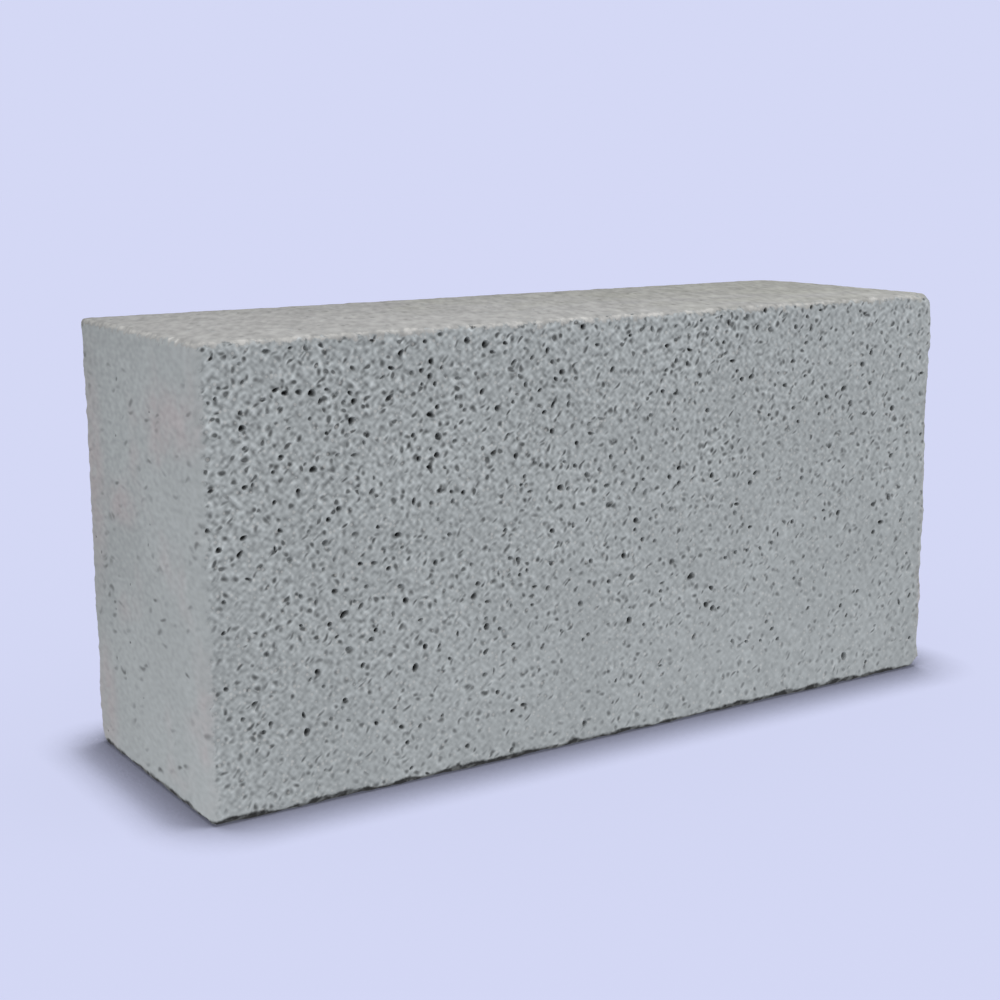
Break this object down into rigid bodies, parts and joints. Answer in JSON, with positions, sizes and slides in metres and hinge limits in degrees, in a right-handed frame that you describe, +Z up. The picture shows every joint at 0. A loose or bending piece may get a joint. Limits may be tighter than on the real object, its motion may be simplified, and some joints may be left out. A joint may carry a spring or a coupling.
{
  "type": "concrete block",
  "caption": "Solid rectangular dense concrete walling block with rounded corners and arrises, laid in mortar on its long narrow face.",
  "frame": {"origin": "middle of the bed face that the block stands on", "axes": "+X along the length, +Y through the thickness, away from the face that the picture shows, +Z up the height to the top bed face"},
  "size_m": [0.44, 0.14, 0.215],
  "materials": {
    "concrete": "matte"
  },
  "bodies": {
    "root": {"block": "concrete"}
  },
  "joints": []
}
